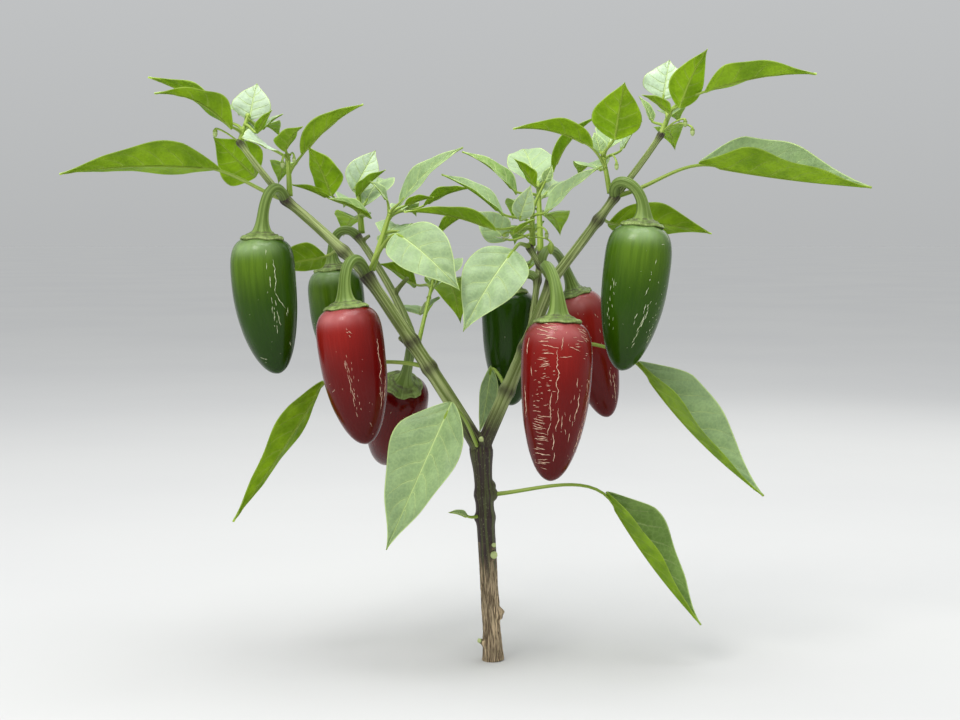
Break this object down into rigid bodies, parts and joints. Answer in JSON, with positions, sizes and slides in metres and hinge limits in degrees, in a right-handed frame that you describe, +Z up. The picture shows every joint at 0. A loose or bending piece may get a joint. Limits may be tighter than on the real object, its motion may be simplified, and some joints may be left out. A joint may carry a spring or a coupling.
{
  "type": "chilli pepper plant",
  "caption": "Young chilli pepper plant with a woody forked stem, plump hanging peppers in green and red, and open foliage of pointed leaves.",
  "frame": {"origin": "middle of the flat cut through the stem at ground level", "axes": "+Z up along the stem, +X to the right and -Y towards the viewer when seen from the front"},
  "size_m": [0.3855, 0.1511, 0.2996],
  "materials": {
    "trunk_bark": "corky tan bark at the foot, dark green and purple above",
    "bough_bark": "smooth green skin with pale lengthwise stripes",
    "pepper_green": "waxy glossy green skin with pale streaks",
    "pepper_red": "waxy glossy red skin with cream cracks",
    "leaf": "soft satin leaf with sunk veins",
    "foliage": "soft satin leaves with sunk veins"
  },
  "bodies": {
    "root": {"trunk": "trunk_bark", "bough_left_lower": "bough_bark", "bough_left_upper": "bough_bark", "bough_left_tip": "bough_bark", "bough_left_rear": "bough_bark", "bough_right_lower": "bough_bark", "bough_right_upper": "bough_bark", "bough_right_tip": "bough_bark", "bough_centre": "bough_bark", "bough_behind": "bough_bark", "pepper_left_green": "pepper_green", "pepper_left_red": "pepper_red", "pepper_rear_red": "pepper_red", "pepper_rear_green": "pepper_green", "pepper_centre_green": "pepper_green", "pepper_front_red": "pepper_red", "pepper_right_red": "pepper_red", "pepper_right_green": "pepper_green", "leaf_left_reach": "leaf", "leaf_left_inner": "leaf", "leaf_left_pendent": "leaf", "leaf_front_low": "leaf", "leaf_fork_rear": "leaf", "leaf_centre_left": "leaf", "leaf_centre_front": "leaf", "leaf_right_reach": "leaf", "leaf_right_inner": "leaf", "leaf_right_pendent": "leaf", "leaf_right_low": "leaf", "leaf_trunk_small": "leaf", "foliage_left_tip": "foliage", "foliage_left_middle": "foliage", "foliage_rear_left": "foliage", "foliage_centre_left": "foliage", "foliage_left_behind": "foliage", "foliage_centre": "foliage", "foliage_behind": "foliage", "foliage_right_middle": "foliage", "foliage_right_tip": "foliage"}
  },
  "joints": []
}
